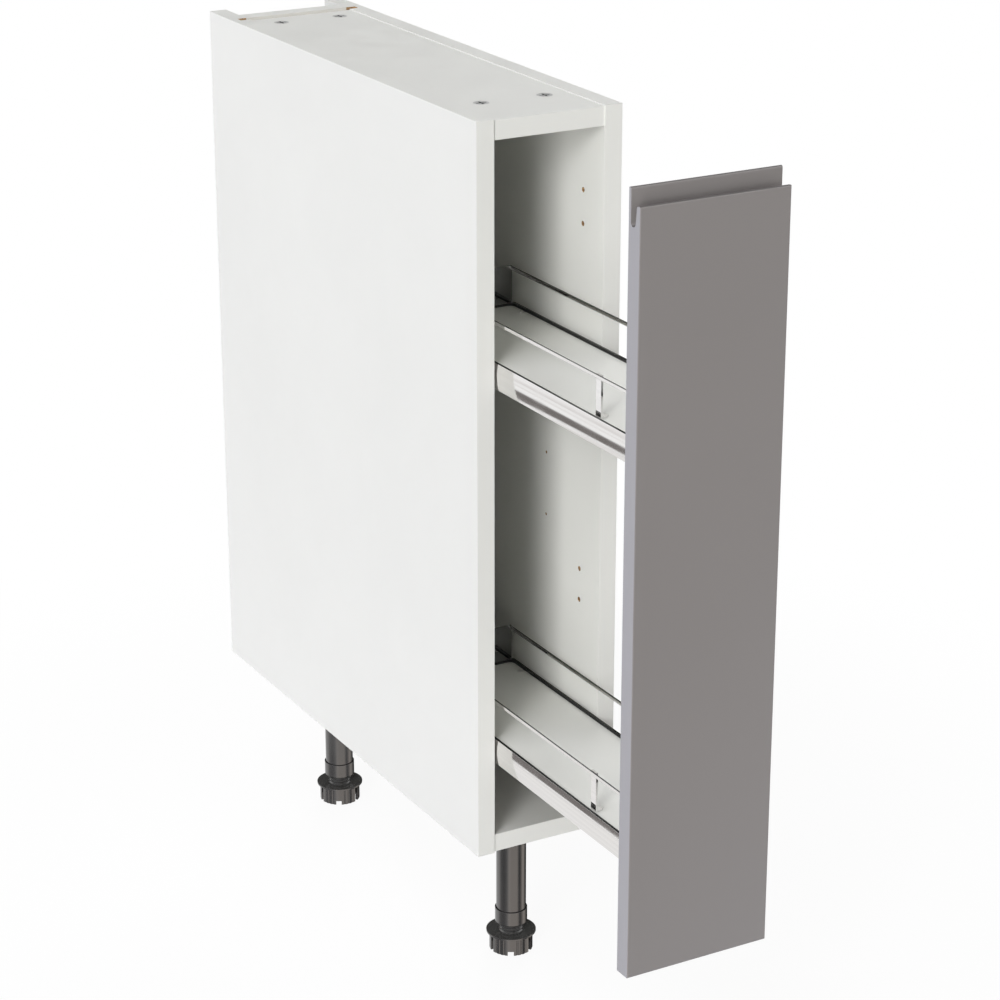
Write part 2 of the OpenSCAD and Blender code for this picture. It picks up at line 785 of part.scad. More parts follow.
// The front panel's outline across its thickness, with the grip groove at its top
module door_outline() {
    r = door_round;
    lip_r = back_lip_t / 2;
    bulb_r = groove_w / 2;
    groove_back = door_t - back_lip_t;
    z_lip = door_h - lip_step;
    z_bulb = z_lip - grip_depth + bulb_r;
    difference() {
        union() {
            translate([0, r]) square([door_t, door_h - r - lip_r]);
            translate([r, 0]) square([door_t - 2 * r, r + eps]);
            for (x = [r, door_t - r]) translate([x, r]) circle(r);
            translate([groove_back + lip_r, door_h - lip_r]) circle(lip_r);
        }
        polygon([
            [groove_back - groove_w, z_bulb], [groove_back, z_bulb],
            [groove_back, door_h + 1], [front_lip_t, door_h + 1], [front_lip_t, z_lip]
        ]);
        translate([groove_back - bulb_r, z_bulb]) circle(bulb_r);
        translate([-1, z_lip - 1.5]) square([front_lip_t + 1.2, lip_step + 10]);
    }
    translate([1.5, z_lip - 1.5]) circle(1.5);
    translate([front_lip_t - 1.2, z_lip - 1.5]) circle(1.2);
    translate([1.5, z_lip - 1.6]) square([front_lip_t - 2.7, 1.3]);
}

module front_panel() {
    color(grey_front) difference() {
        intersection() {
            translate([-door_w / 2, y_door, z_door]) rotate([90, 0, 90])
                linear_extrude(door_w) door_outline();
            translate([0, 0, z_door - 1]) linear_extrude(door_h + 2)
                round_rect(door_w, y_door, y_door + door_t, door_round);
        }
        door_screw_places() rod_y(0, eps, 0, -1, screw_r + fit, door_screw_l + 2 * eps);
    }
}

door_screw_l = 12;
bracket_zs = [z_low + upright_z + bracket_h / 2 + 12, z_high - upright_drop - bracket_h / 2 - 12];
door_screw_x = bracket_w / 2 - 9;

module door_screw_places() {
    for (z = bracket_zs) for (sx = sides) for (sz = sides)
        translate([sx * door_screw_x, y_door_back, z + sz * (bracket_h / 2 - 10)]) children();
}

// A plate on the back of the front panel with two ears that hold the upright between them
module door_bracket(z) {
    ear_d = upright_d - 4;
    x_ear = upright_w / 2 + loose;
    difference() {
        union() {
            span([-bracket_w / 2, y_door_back, z - bracket_h / 2],
                [bracket_w / 2, y_upright, z + bracket_h / 2]);
            for (sx = sides)
                span([min(sx * x_ear, sx * (x_ear + plate_t)), y_door_back, z - bracket_h / 3],
                    [max(sx * x_ear, sx * (x_ear + plate_t)), y_upright + ear_d,
                        z + bracket_h / 3]);
        }
        door_screw_places() rod_y(0, -eps, 0, 1, screw_r + fit, plate_t + 2 * eps);
        for (sx = sides) for (dz = [-14, 14])
            rod_x(sx * (x_ear - eps), y_upright + upright_d / 2, z + dz, sx, screw_r + 0.6,
                plate_t + 2 * eps);
    }
}

module door_bracket_lower() { color(zinc) door_bracket(bracket_zs[0]); }
module door_bracket_upper() { color(zinc) door_bracket(bracket_zs[1]); }

module door_screws() {
    pan_h = 2;
    color(zinc) {
        door_screw_places() {
            rod_y(0, plate_t, 0, 1, head_r, pan_h);
            rod_y(0, plate_t + eps, 0, -1, screw_r, plate_t + door_screw_l - fit);
        }
        for (z = bracket_zs) for (sx = sides) for (dz = [-14, 14]) {
            x = upright_w / 2 + loose + plate_t;
            rod_x(sx * x, y_upright + upright_d / 2, z + dz, sx, head_r, pan_h);
            rod_x(sx * (x + eps), y_upright + upright_d / 2, z + dz, -sx, screw_r,
                2 * plate_t + 2);
        }
    }
}

module front_upright() {
    w = upright_w / 2;
    color(zinc) difference() {
        union() {
            span([-w, y_tray - plate_t, z_low + upright_z], [w, y_tray, z_high - upright_drop]);
            for (sx = sides)
                span([min(sx * w, sx * (w - plate_t)), y_upright, z_low + upright_z],
                    [max(sx * w, sx * (w - plate_t)), y_tray, z_high - upright_drop]);
        }
        upright_screw_places() rod_y(0, -plate_t - eps, 0, 1, screw_r + fit,
            plate_t + 2 * eps);
        for (z = bracket_zs) for (sx = sides) for (dz = [-14, 14])
            rod_x(sx * (w + eps), y_upright + upright_d / 2, z + dz, -sx, screw_r + fit,
                plate_t + 2 * eps);
        for (z = [z_low + 200, z_low + 330]) for (s = sides)
            rod_y(0, y_tray - plate_t - eps, z + s * 20, 1, 10, plate_t + 2 * eps);
    }
}

module upright_screw_places() {
    for (z = runner_zs) for (dz = tab_screw_zs)
        translate([upright_screw_x, y_tray, z + dz]) children();
    for (z = tray_zs) for (sx = sides)
        translate([sx * rail_screw_x, y_tray, z + tray_screw_z]) children();
    for (z = tray_zs) for (sx = sides)
        translate([sx * rail_screw_x, y_tray, z + rail_screw_z]) children();
}

module upright_screws() {
    pan_h = 2;
    pin_r = 1.9;
    color(zinc) upright_screw_places() {
        rod_y(0, -plate_t, 0, -1, head_r, pan_h);
        rod_y(0, -plate_t - eps, 0, 1, pin_r, plate_t + frame_t + 1.2);
    }
}

// The tray frame's outline: a crowned wall with a ledge inside
module frame_outline() {
    bow_r = (frame_h * frame_h / 4 + frame_crown * frame_crown) / (2 * frame_crown);
    intersection() {
        square([frame_t, frame_h]);
        translate([bow_r, frame_h / 2]) circle(bow_r, $fn = 200);
    }
    translate([frame_t - eps, floor_z - ledge_t]) square([ledge_w, ledge_t]);
}

module tray_frame(z) {
    translate([0, 0, z]) difference() {
        union() {
            sweep_wall(z);
            for (y = bar_ys)
                span([-tray_w / 2 + frame_t, y - bar_w / 2, floor_z - ledge_t],
                    [tray_w / 2 - frame_t, y + bar_w / 2, floor_z]);
        }
        for (sx = sides)
            rod_y(sx * rail_screw_x, y_tray - 1, tray_screw_z, 1, screw_r + fit, frame_t + 2);
    }
}

module sweep_wall(z) {
    r = frame_corner;
    sweep_ring(tray_w, y_tray, y_tray_rear, r) intersection() {
        frame_outline();
        square([r - fit, frame_h]);
    }
    translate([0, 0, floor_z - ledge_t]) linear_extrude(ledge_t) difference() {
        round_rect(tray_w - 2 * frame_t, y_tray + frame_t, y_tray_rear - frame_t,
            r - frame_t + fit);
        round_rect(tray_w - 2 * frame_t - 2 * ledge_w, y_tray + frame_t + ledge_w,
            y_tray_rear - frame_t - ledge_w, r);
    }
}

module tray_board(z) {
    translate([0, 0, z + floor_z]) linear_extrude(floor_t)
        round_rect(tray_w - 2 * floor_in, y_tray + floor_in, y_tray_rear - floor_in,
            floor_corner);
}

module tray_seal(z) {
    strip_h = floor_t + floor_recess - 0.3;
    inset = frame_t + fit / 2;
    translate([0, 0, z + floor_z]) linear_extrude(strip_h) difference() {
        round_rect(tray_w - 2 * inset, y_tray + inset, y_tray_rear - inset,
            frame_corner - frame_t);
        round_rect(tray_w - 2 * floor_in + fit, y_tray + floor_in - fit / 2,
            y_tray_rear - floor_in + fit / 2, floor_corner);
    }
}

module rail_outline() {
    r = rail_t / 2 - 0.1;
    translate([r, 0]) square([rail_t - 2 * r, rail_h]);
    translate([0, r]) square([rail_t, rail_h - 2 * r]);
    for (x = [r, rail_t - r]) for (y = [r, rail_h - r]) translate([x, y]) circle(r, $fn = 24);
}

module gallery_rail(z) {
    tab_w = 10;
    difference() {
        union() {
            translate([0, 0, z + rail_top - rail_h])
                sweep_ring(rail_w, y_tray, y_guard, frame_corner, false) rail_outline();
            for (sx = sides)
                translate([sx * rail_screw_x - tab_w / 2, y_tray, z + rail_top - rail_tab_h])
                    cube([tab_w, rail_t - 0.4, rail_tab_h - rail_h / 2]);
        }
        for (sx = sides)
            rod_y(sx * rail_screw_x, y_tray - 1, z + rail_screw_z, 1, screw_r + fit,
                rail_t + 2);
    }
}

module rear_guard(z) {
    half = rail_w / 2 + 0.5;
    r = 0.6;
    translate([0, y_guard, z + frame_h]) linear_extrude(rail_rise)
        round_rect(2 * half, 0, guard_t, r);
}

module gallery_posts(z) {
    y = y_front - post_y;
    x = rail_w / 2 - rail_t;
    for (sx = sides) {
        span([min(sx * x, sx * (x - post_t)), y - post_w / 2, z + floor_top],
            [max(sx * x, sx * (x - post_t)), y + post_w / 2, z + rail_top]);
        translate([0, 0, z + floor_top]) linear_extrude(foot_t) {
            translate([sx > 0 ? x - post_foot + post_w / 2 : -x, y - post_w / 2])
                square([post_foot - post_w / 2, post_w]);
            translate([sx * (x - post_foot + post_w / 2), y]) circle(post_w / 2);
        }
    }
}

module board_clips(z) {
    clip_w = 4;
    clip_l = 8;
    clip_t = 0.9;
    y = y_tray_rear - clip_y;
    for (sx = sides) translate([sx * (tray_w / 2 - floor_in), y, z + floor_top])
        linear_extrude(clip_t) {
            translate([sx > 0 ? -clip_l + clip_w / 2 : 0, -clip_w / 2])
                square([clip_l - clip_w / 2, clip_w]);
            translate([-sx * (clip_l - clip_w / 2), 0]) circle(clip_w / 2, $fn = 32);
        }
}

module tray_frame_lower() { color(bright) tray_frame(tray_zs[0]); }
module tray_frame_upper() { color(bright) tray_frame(tray_zs[1]); }
module tray_board_lower() { color(pale_floor) tray_board(tray_zs[0]); }
module tray_board_upper() { color(pale_floor) tray_board(tray_zs[1]); }
module tray_seal_lower() { color(black_part) tray_seal(tray_zs[0]); }
module tray_seal_upper() { color(black_part) tray_seal(tray_zs[1]); }
module gallery_rail_lower() { color(bright) gallery_rail(tray_zs[0]); }
module gallery_rail_upper() { color(bright) gallery_rail(tray_zs[1]); }
module rear_guard_lower() { color(bright) rear_guard(tray_zs[0]); }
module rear_guard_upper() { color(bright) rear_guard(tray_zs[1]); }
module gallery_posts_lower() { color(bright) gallery_posts(tray_zs[0]); }
module gallery_posts_upper() { color(bright) gallery_posts(tray_zs[1]); }
module board_clips_lower() { color(bright) board_clips(tray_zs[0]); }
module board_clips_upper() { color(bright) board_clips(tray_zs[1]); }

side_panel_left();
side_panel_right();
top_panel();
bottom_panel();
back_panel();
back_rail();
edge_strips();
cams_top();
cams_bottom();
cam_bolts();
dowels();
leg_socket_front();
leg_socket_rear();
leg_screws();
leg_tube_front();
leg_tube_rear();
leg_collar_front();
leg_collar_rear();
leg_foot_front();
leg_foot_rear();
runner_outer_lower();
runner_outer_upper();
runner_screws();
runner_middle_lower();
runner_middle_upper();
cage_outer_lower();
cage_outer_upper();
cage_inner_lower();
cage_inner_upper();
balls_outer_lower();
balls_outer_upper();
balls_inner_lower();
balls_inner_upper();
runner_inner_lower();
runner_inner_upper();
tray_bracket_lower();
tray_bracket_upper();
bracket_screws();
front_panel();
front_upright();
door_bracket_lower();
door_bracket_upper();
door_screws();
upright_screws();
tray_frame_lower();
tray_frame_upper();
tray_board_lower();
tray_board_upper();
tray_seal_lower();
tray_seal_upper();
gallery_rail_lower();
gallery_rail_upper();
rear_guard_lower();
rear_guard_upper();
gallery_posts_lower();
gallery_posts_upper();
board_clips_lower();
board_clips_upper();
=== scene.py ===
import math

import bmesh
import bpy
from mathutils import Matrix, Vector


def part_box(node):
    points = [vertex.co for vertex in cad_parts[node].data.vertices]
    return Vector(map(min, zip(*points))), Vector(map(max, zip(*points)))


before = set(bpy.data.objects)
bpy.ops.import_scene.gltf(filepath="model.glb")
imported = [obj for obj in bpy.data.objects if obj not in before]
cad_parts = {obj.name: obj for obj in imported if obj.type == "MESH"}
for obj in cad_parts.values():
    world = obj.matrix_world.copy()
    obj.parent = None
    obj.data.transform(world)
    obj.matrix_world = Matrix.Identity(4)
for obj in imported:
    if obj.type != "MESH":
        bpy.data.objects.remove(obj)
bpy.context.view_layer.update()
scene = bpy.context.scene

# Lengths are in metres, and colours are linear red, green and blue
BOARD_WHITE = (0.812, 0.813, 0.782)
EDGING_WHITE = (0.85, 0.85, 0.82)
TRAY_WHITE = (0.84, 0.843, 0.803)
CHIP_DARK = (0.22, 0.12, 0.05)
CHIP_LIGHT = (0.58, 0.38, 0.19)
FRONT_GREY = (0.262, 0.244, 0.241)
LEG_BLACK = (0.024, 0.023, 0.023)
# Painted sheen: the colour that the legs' upward faces are lightened to
LEG_TOP_SHEEN = (0.062, 0.062, 0.06)
NEAR_BLACK = (0.03, 0.03, 0.03)
BOARD_IOR = 1.5
LEG_IOR = 1.62
CHIP_ROUGHNESS = 0.85

# Most values of a noise lie between these
NOISE_LOW = 0.3
NOISE_HIGH = 0.7

# How far a shader rounds the edges of a piece
SMALL_EDGE = 0.0003
BOARD_EDGE = 0.0004

# The photograph's viewpoint and viewing angle, for a camera without shift
PHOTO_PIXELS = 1000.0
FOCAL_PIXELS = 2921.0
SENSOR_MM = 36.0
VIEW_END = 50.0
CAMERA_PLACE = (-1.286, -2.347, 1.458)
YAW = math.radians(29.34)
PITCH = math.radians(20.57)


# Shader nodes
class Tree:
    """Builds a node tree line by line."""

    def __init__(self, owner):
        """Starts with no nodes, on a material or on the world."""
        owner.use_nodes = True
        self.tree = owner.node_tree
        self.tree.nodes.clear()

    def feed(self, socket, value):
        """Links another node's output to a socket, or sets the socket to a constant."""
        if isinstance(value, bpy.types.NodeSocket):
            self.tree.links.new(value, socket)
        else:
            socket.default_value = value

    def add(self, kind, inputs=None, **settings):
        node = self.tree.nodes.new(kind)
        for key, value in settings.items():
            setattr(node, key, value)
        for key, value in (inputs or {}).items():
            self.feed(node.inputs[key], value)
        return node

    def math(self, operation, a, b=0.0):
        return self.add("ShaderNodeMath", {0: a, 1: b}, operation=operation).outputs[0]

    def axes(self, vector):
        """The x, y and z of a vector."""
        return self.add("ShaderNodeSeparateXYZ", {0: vector}).outputs[0:3]

    def between(self, value, low, high):
        """1 where value lies between low and high, else 0."""
        above = self.math("GREATER_THAN", value, low)
        below = self.math("LESS_THAN", value, high)
        return self.math("MULTIPLY", above, below)

    def ramp(self, value, low, high, to_low=0.0, to_high=1.0, smooth=True):
        node = self.add(
            "ShaderNodeMapRange",
            {"Value": value, "From Min": low, "From Max": high, "To Min": to_low, "To Max": to_high},
            interpolation_type="SMOOTHSTEP" if smooth else "LINEAR",
        )
        return node.outputs["Result"]

    def mix(self, factor, a, b):
        """Colour a where factor is 0, and colour b where it is 1."""
        return self.add("ShaderNodeMix", {0: factor, 6: a, 7: b}, data_type="RGBA").outputs[2]

    def noise(self, place, scale, detail):
        node = self.add("ShaderNodeTexNoise", {"Vector": place, "Scale": scale, "Detail": detail})
        return node.outputs["Fac"]

    def stretched(self, place, factors):
        node = self.add("ShaderNodeVectorMath", {0: place, 1: factors}, operation="MULTIPLY")
        return node.outputs[0]


def scaled(colour, factor):
    return tuple(c * factor for c in colour)


def colour_span(tree, value, dark, light, low=NOISE_LOW, high=NOISE_HIGH):
    return tree.mix(tree.ramp(value, low, high, smooth=False), (*dark, 1), (*light, 1))


def rough_span(tree, value, smoothest, roughest):
    return tree.ramp(value, NOISE_LOW, NOISE_HIGH, smoothest, roughest)


def painted_light_on_top(tree, paint, top):
    """Mixes in another colour where the surface looks up, as painted light or shade on upward faces.
    """
    normal = tree.add("ShaderNodeNewGeometry").outputs["True Normal"]
    z = tree.axes(normal)[2]
    return tree.mix(tree.ramp(z, 0.6, 0.9), paint, (*top, 1))


def start(name):
    material = bpy.data.materials.new(name)
    tree = Tree(material)
    shader = tree.add("ShaderNodeBsdfPrincipled")
    tree.add("ShaderNodeOutputMaterial", {0: shader.outputs[0]})
    place = tree.add("ShaderNodeTexCoord").outputs["Object"]
    return material, tree, shader, place


def surface(tree, shader, colour, roughness, height, bump_size, edge=SMALL_EDGE):
    """Gives a shader its colour and roughness, a fine bump and softened edges."""
    tree.feed(shader.inputs["Base Color"], colour)
    tree.feed(shader.inputs["Roughness"], roughness)
    round_edge = tree.add("ShaderNodeBevel", {"Radius": edge}, samples=6)
    bump = tree.add(
        "ShaderNodeBump",
        {"Height": height, "Distance": bump_size, "Normal": round_edge.outputs[0]},
    )
    tree.feed(shader.inputs["Normal"], bump.outputs[0])


# Materials
def board_material(name, chip_mask=None, colour=BOARD_WHITE):
    """White melamine with a fine pearl grain; bare chipboard where chip_mask says so."""
    material, tree, shader, place = start(name)
    cloud = tree.noise(place, 7.0, 3.0)
    pearl = tree.noise(place, 1400.0, 2.0)
    paint = colour_span(tree, cloud, scaled(colour, 0.985), scaled(colour, 1.008))
    rough = rough_span(tree, tree.noise(place, 40.0, 3.0), 0.36, 0.46)
    if chip_mask is not None:
        mask = chip_mask(tree, place)
        flake_place = tree.stretched(place, (1, 1.6, 1))
        flakes = tree.add("ShaderNodeTexVoronoi", {"Vector": flake_place, "Scale": 520.0})
        shade = tree.add("ShaderNodeSeparateColor", {0: flakes.outputs["Color"]}).outputs[0]
        chips = colour_span(tree, shade, CHIP_DARK, CHIP_LIGHT, 0.1, 0.9)
        paint = tree.mix(mask, paint, chips)
        both = tree.add("ShaderNodeMix", {0: mask, 2: rough, 3: CHIP_ROUGHNESS}, data_type="FLOAT")
        rough = both.outputs[0]
    surface(tree, shader, paint, rough, pearl, 0.00001, BOARD_EDGE)
    shader.inputs["IOR"].default_value = BOARD_IOR
    return material


def metal_material(name, colour, smoothest, roughest, lines=260.0, top=None):
    """Metal with fine lines drawn along Y, and a painted reflection in another colour on its upward
    faces where one is given.
    """
    material, tree, shader, place = start(name)
    drawn = tree.noise(tree.stretched(place, (1, 0.01, 1)), lines, 3.0)
    cloud = tree.noise(place, 30.0, 3.0)
    paint = colour_span(tree, drawn, scaled(colour, 0.93), colour)
    if top is not None:
        paint = painted_light_on_top(tree, paint, top)
    rough = rough_span(tree, cloud, smoothest, roughest)
    surface(tree, shader, paint, rough, drawn, 0.000004)
    shader.inputs["Metallic"].default_value = 1.0
    return material


def plastic_material(name, colour, smoothest, roughest, top=None):
    """Moulded plastic with a fine grain, and a painted sheen in another colour on its upward faces
    where one is given.
    """
    material, tree, shader, place = start(name)
    cloud = tree.noise(place, 25.0, 3.0)
    grain = tree.noise(place, 900.0, 2.0)
    paint = colour_span(tree, cloud, scaled(colour, 0.92), scaled(colour, 1.05))
    if top is not None:
        paint = painted_light_on_top(tree, paint, top)
    rough = rough_span(tree, cloud, smoothest, roughest)
    surface(tree, shader, paint, rough, grain, 0.00001)
    return material


def lacquer_material(name, colour):
    """Smooth matt lacquer with a very fine fleck, with a painted pale, cool sheen at a shallow angle
    and painted shade on its upward faces.
    """
    material, tree, shader, place = start(name)
    cloud = tree.noise(place, 5.0, 3.0)
    fleck = tree.noise(place, 2600.0, 2.0)
    paint = colour_span(tree, cloud, scaled(colour, 0.985), scaled(colour, 1.01))
    shallow = tree.add("ShaderNodeLayerWeight", {"Blend": 0.5}).outputs["Facing"]
    red, green, blue = colour
    painted_cool_sheen = (red * 1.42, green * 1.5, blue * 1.6)
    # Painted sheen: paler and cooler where the surface is seen at a shallow angle
    paint = tree.mix(tree.ramp(shallow, 0.2, 0.5), paint, (*painted_cool_sheen, 1))
    # Painted shade: upward faces are darkened to half the colour
    paint = painted_light_on_top(tree, paint, scaled(colour, 0.5))
    rough = rough_span(tree, fleck, 0.42, 0.5)
    surface(tree, shader, paint, rough, fleck, 0.000006)
    shader.inputs["Specular IOR Level"].default_value = 0.3
    return material


def cam_material(name):
    """Dull zinc casting, with painted shade, near black, down in its driving cross."""
    material, tree, shader, place = start(name)
    grain = tree.noise(place, 900.0, 3.0)
    paint = colour_span(tree, grain, (0.5, 0.5, 0.49), (0.66, 0.66, 0.65))
    z = tree.axes(place)[2]
    lowest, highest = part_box("cams_bottom")[0].z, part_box("cams_top")[1].z
    skin = 0.0003
    # Painted shade: near black on every face between the lowest and the highest face of the cams,
    # the driving cross among them
    painted_recess_shade = tree.between(z, lowest + skin, highest - skin)
    paint = tree.mix(painted_recess_shade, paint, (0.02, 0.02, 0.02, 1))
    surface(tree, shader, paint, 0.45, grain, 0.00002)
    shader.inputs["Metallic"].default_value = 0.3
    return material


def wood_material(name):
    """Beech with its grain along X."""
    material, tree, shader, place = start(name)
    grain = tree.noise(tree.stretched(place, (0.1, 1, 1)), 900.0, 4.0)
    paint = colour_span(tree, grain, (0.36, 0.2, 0.08), (0.6, 0.4, 0.19))
    surface(tree, shader, paint, 0.7, grain, 0.00002)
    return material


# Bare chipboard shows in the back panel's grooves, in the drilled holes and on hidden edges.
# HAIR keeps a mask off the outer faces; the other three take in a groove's or an edge's own faces.
side_low, side_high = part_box("side_panel_right")
back_low, back_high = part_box("back_panel")
HAIR = 0.00012
GROOVE_SLACK = 0.0003
GROOVE_END = 0.0012
REAR_SLACK = 0.0004


def side_chips(tree, place):
    """The side panels' grooves, holes and undersides."""
    x, y, z = tree.axes(place)
    x = tree.math("ABSOLUTE", x)
    inside = tree.between(x, side_low.x + HAIR, side_high.x - HAIR)
    groove = tree.between(y, back_low.y - GROOVE_SLACK, back_high.y + GROOVE_SLACK)
    groove = tree.math("MULTIPLY", groove, tree.math("LESS_THAN", x, back_high.x + GROOVE_END))
    under = tree.math("LESS_THAN", z, side_low.z + HAIR)
    hole = tree.math(
        "MULTIPLY",
        tree.between(z, side_low.z + HAIR, side_high.z - HAIR),
        tree.between(y, side_low.y + HAIR, side_high.y - HAIR),
    )
    bare = tree.math("MAXIMUM", groove, tree.math("MAXIMUM", under, hole))
    return tree.math("MULTIPLY", inside, bare)


def rear_chips(tree, place):
    """The rear edges of the top and bottom panels, which meet the back panel."""
    return tree.math("GREATER_THAN", tree.axes(place)[1], back_low.y - REAR_SLACK)


def under_chips(tree, place):
    """The fixing rail's lower edge."""
    return tree.math("LESS_THAN", tree.axes(place)[2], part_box("back_rail")[0].z + HAIR)


white_side = board_material("white_board_side", side_chips)
white_shelf = board_material("white_board_shelf", rear_chips)
white_rail = board_material("white_board_rail", under_chips)
white_plain = board_material("white_board")
edging = board_material("edge_strip", colour=EDGING_WHITE)
tray_white = board_material("tray_board", colour=TRAY_WHITE)
chrome = metal_material("bright_metal", (0.86, 0.85, 0.845), 0.05, 0.09)
# Painted dark reflection: the rails' and tray frames' upward faces are painted near black
rail_chrome = metal_material("rail_metal", (0.84, 0.83, 0.82), 0.05, 0.09, top=NEAR_BLACK)
# Painted dark reflection: the rear guard's metal is darkened to dark grey, and its upward faces are
# painted near black
guard_chrome_painted_dark = metal_material("guard_metal", (0.25, 0.25, 0.25), 0.04, 0.07, top=NEAR_BLACK)
zinc = metal_material("runner_zinc", (0.55, 0.56, 0.58), 0.24, 0.34, 500.0)
frame_zinc = metal_material("frame_zinc", (0.58, 0.59, 0.6), 0.3, 0.42, 400.0)
cam_zinc = cam_material("cam_zinc")
screw_zinc = metal_material("screw_zinc", (0.6, 0.6, 0.58), 0.22, 0.32, 900.0)
ball_steel = metal_material("ball_steel", (0.78, 0.78, 0.8), 0.05, 0.1)
# The legs' upward faces get a lighter painted sheen
black_plastic = plastic_material("leg_plastic", LEG_BLACK, 0.11, 0.16, top=LEG_TOP_SHEEN)
leg_shader = black_plastic.node_tree.nodes["Principled BSDF"]
leg_shader.inputs["IOR"].default_value = LEG_IOR
leg_shader.inputs["Specular IOR Level"].default_value = 1.0
rubber = plastic_material("seal_rubber", (0.01, 0.01, 0.01), 0.5, 0.62)
grey_lacquer = lacquer_material("front_paint", FRONT_GREY)
beech = wood_material("raw_wood")

# A node takes the first finish that its name starts with
FINISH = {
    "side_panel_": white_side,
    "top_panel": white_shelf,
    "bottom_panel": white_shelf,
    "back_panel": white_plain,
    "back_rail": white_rail,
    "edge_strips": edging,
    "cams_": cam_zinc,
    "cam_bolts": screw_zinc,
    "dowels": beech,
    "leg_screws": screw_zinc,
    "leg_": black_plastic,
    "runner_screws": screw_zinc,
    "runner_": zinc,
    "cage_": frame_zinc,
    "balls_": ball_steel,
    "bracket_screws": screw_zinc,
    "tray_bracket_": frame_zinc,
    "front_panel": grey_lacquer,
    "front_upright": frame_zinc,
    "door_screws": screw_zinc,
    "door_bracket_": frame_zinc,
    "upright_screws": screw_zinc,
    "tray_board_": tray_white,
    "tray_seal_": rubber,
    "tray_frame_": rail_chrome,
    "gallery_rail_": rail_chrome,
    "gallery_posts_": chrome,
    "rear_guard_": guard_chrome_painted_dark,
    "board_clips_": chrome,
}
for name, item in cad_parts.items():
    key = next(beginning for beginning in FINISH if name.startswith(beginning))
    item.data.materials.clear()
    item.data.materials.append(FINISH[key])

# Floor
FLOOR_RADIUS = 1.19
FADE_RADII = (0.55, 1.1)
GLOW_SHARES = (0.93, 1.0)
floor_mesh = bpy.data.meshes.new("floor")
builder = bmesh.new()
bmesh.ops.create_circle(builder, cap_ends=True, segments=128, radius=FLOOR_RADIUS)
builder.to_mesh(floor_mesh)
builder.free()
floor = bpy.data.objects.new("floor", floor_mesh)
scene.collection.objects.link(floor)
floor.visible_glossy = False
floor.visible_shadow = False
floor_paint = bpy.data.materials.new("floor")
floor_mesh.materials.append(floor_paint)
tree = Tree(floor_paint)
path = tree.add("ShaderNodeLightPath")
seen = tree.math("MAXIMUM", path.outputs["Is Camera Ray"], path.outputs["Is Glossy Ray"])
seen = tree.math("MAXIMUM", seen, path.outputs["Is Transmission Ray"])
white = tree.add("ShaderNodeEmission", {"Color": (1, 1, 1, 1), "Strength": 1.0})
# Diffuse rays meet a floor as dim as the world behind it, so it lights no face from below
matt_colour = tree.mix(seen, (0.35, 0.35, 0.35, 1), (0.9, 0.9, 0.9, 1))
matt = tree.add("ShaderNodeBsdfDiffuse", {"Color": matt_colour})
x, y = tree.axes(tree.add("ShaderNodeTexCoord").outputs["Object"])[:2]
squares = tree.math("ADD", tree.math("POWER", x, 2.0), tree.math("POWER", y, 2.0))
radius = tree.math("SQRT", squares)
# The matt part of the mix carries the object's shadow, and fades out towards the rim
share = tree.math("MULTIPLY", seen, tree.ramp(radius, *FADE_RADII, *GLOW_SHARES))
both = tree.add("ShaderNodeMixShader", {0: share, 1: matt.outputs[0], 2: white.outputs[0]})
tree.add("ShaderNodeOutputMaterial", {0: both.outputs[0]})

# World: white where the camera sees it, even grey light, and a studio that polished pieces mirror
AMBIENT = (0.202, 0.204, 0.188, 1)
# What they mirror low down, round the room: degrees from +Y towards +X, level, warmth
STUDIO_RING = (
    (-180, 1.15, 1), (-151, 1.15, 1), (-137, 1.3, 0.8), (-128, 0.9, 0.6), (-121, 0.5, 0.2),
    (-108, 0.25, 0), (-95, 0.15, 0), (-80, 0.22, 0), (-65, 0.35, 0.2), (-52, 0.8, 0.3),
    (-41, 1.0, 0.2), (-29, 0.9, 0.1), (0, 1.0, 0), (28, 1.0, 0), (32, 0.03, 0), (73, 0.03, 0),
    (90, 0.6, 1), (105, 1.25, 1), (118, 0.9, 1), (128, 0.4, 1), (138, 0.1, 0), (148, 0.15, 0),
    (157, 0.9, 1), (166, 1.15, 1), (180, 1.15, 1),
)
# Between the two values of a pair, one part of the studio gives way to the next. Three are heights,
# the sine of a direction's angle above level, and FAR_AHEAD is how far it points the camera's way
RING_TOP = (-0.43, -0.41)
LOWER_TOP = (-0.34, -0.325)
FAR_RISE = (-0.02, 0.08)
FAR_AHEAD = (0.55, 0.75)
# A grey band beyond the cabinet's left side: its middle, half its width, and its heights
BAND_TURN = math.radians(-32)
BAND_HALF_WIDTH = 0.35
BAND_LOW = -0.388
BAND_HIGH = -0.3
BAND_GREY = (0.2, 0.185, 0.18, 1)
world = bpy.data.worlds.new("studio")
scene.world = world
tree = Tree(world)
path = tree.add("ShaderNodeLightPath")
shown = tree.math("MAXIMUM", path.outputs["Is Camera Ray"], path.outputs["Is Transmission Ray"])
direction = tree.add("ShaderNodeTexCoord").outputs["Generated"]
x, y, z = tree.axes(direction)
away = tree.math(
    "ADD",
    tree.math("MULTIPLY", x, math.sin(YAW)),
    tree.math("MULTIPLY", y, math.cos(YAW)),
)
far_side = tree.math("MULTIPLY", tree.ramp(away, *FAR_AHEAD), tree.ramp(z, *FAR_RISE))
turn = tree.math("ARCTAN2", x, y)
ring = tree.add("ShaderNodeValToRGB", {0: tree.ramp(turn, -math.pi, math.pi, smooth=False)})
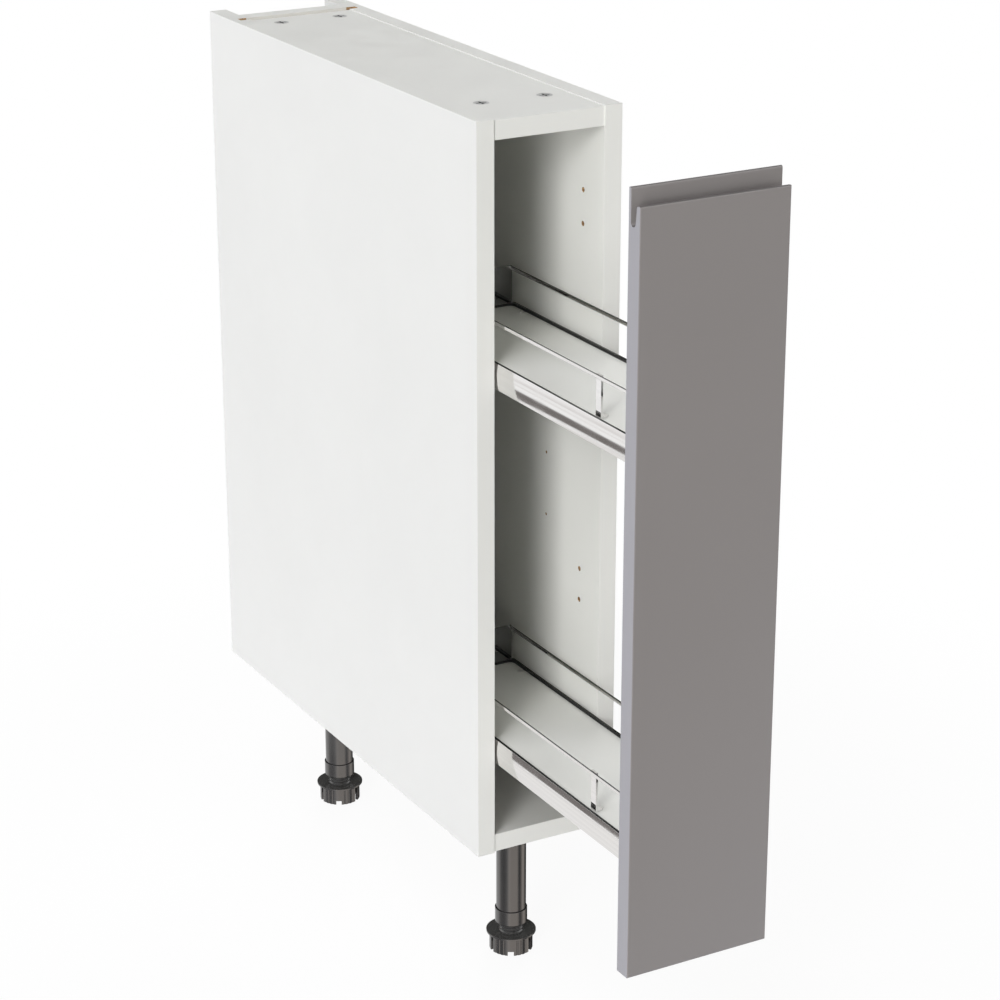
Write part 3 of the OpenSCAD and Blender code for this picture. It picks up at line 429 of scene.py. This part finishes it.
for degrees, level, warmth in STUDIO_RING:
    position = (degrees + 180.0) / 360.0
    if position in (0.0, 1.0):
        stop = ring.color_ramp.elements[-1 if position else 0]
    else:
        stop = ring.color_ramp.elements.new(position)
    stop.color = (level, level * (1 - 0.1 * warmth), level * (1 - 0.18 * warmth), 1)
from_middle = tree.math("ABSOLUTE", tree.math("SUBTRACT", turn, BAND_TURN))
band = tree.math(
    "MULTIPLY",
    tree.math("LESS_THAN", from_middle, BAND_HALF_WIDTH),
    tree.between(z, BAND_LOW, BAND_HIGH),
)
streaks = tree.noise(tree.stretched(direction, (0.0, 0.0, 1.0)), 26.0, 3.0)
pale = colour_span(tree, streaks, (0.7, 0.665, 0.65), (1.0, 1.0, 1.0), 0.35, 0.5)
lower = tree.mix(tree.ramp(z, *RING_TOP), ring.outputs[0], pale)
lower = tree.mix(band, lower, BAND_GREY)
upper = tree.mix(far_side, pale, (*NEAR_BLACK, 1))
gloss = tree.mix(tree.ramp(z, *LOWER_TOP, 1.0, 0.0), upper, lower)
light_colour = tree.mix(path.outputs["Is Glossy Ray"], AMBIENT, gloss)
light_colour = tree.mix(shown, light_colour, (1, 1, 1, 1))
sky = tree.add("ShaderNodeBackground", {"Color": light_colour, "Strength": 1.0})
tree.add("ShaderNodeOutputWorld", {0: sky.outputs[0]})


# Lamps
LAMP_DISTANCE = 4.0


def even_light(name, direction, share, angle, colour=(1, 1, 1)):
    """Parallel light that adds share of a white surface's brightness where it faces it."""
    light = bpy.data.lights.new(name, "SUN")
    light.energy = share * math.pi
    light.color = colour
    light.angle = angle
    holder = bpy.data.objects.new(name, light)
    aim = Vector(direction).normalized()
    holder.location = aim * LAMP_DISTANCE
    holder.rotation_euler = aim.to_track_quat("Z", "Y").to_euler()
    holder.visible_glossy = False
    scene.collection.objects.link(holder)


# A tall key light from the front left, in four parts one above the other
for tilt, share in ((-30, 0.168), (-5, 0.172), (22, 0.425), (38, 0.108)):
    rise = math.tan(math.radians(tilt))
    even_light("key_light", (-0.77, -0.64, rise), share, 0.36)
even_light("top_light", (-0.9, -0.15, 2.2), 0.345, 0.6, (1, 1, 1.06))
even_light("left_light", (-1.0, 0.2, 0.0), 0.035, 0.4, (0.9, 0.95, 2.0))
even_light("front_left_light", (-0.66, -0.75, 0.0), 0.06, 0.2)
even_light("front_light", (0.0, -1.0, 0.05), 0.05, 0.4)
even_light("rear_light", (0.66, 0.72, 0.22), 0.7, 0.6)

# Camera
camera_data = bpy.data.cameras.new("camera")
camera_data.sensor_width = SENSOR_MM
camera_data.lens = FOCAL_PIXELS / PHOTO_PIXELS * SENSOR_MM
camera_data.clip_end = VIEW_END
camera = bpy.data.objects.new("camera", camera_data)
camera.location = CAMERA_PLACE
camera.rotation_euler = (math.pi / 2 - PITCH, 0.0, -YAW)
scene.collection.objects.link(camera)
scene.camera = camera

scene.view_settings.view_transform = "Standard"
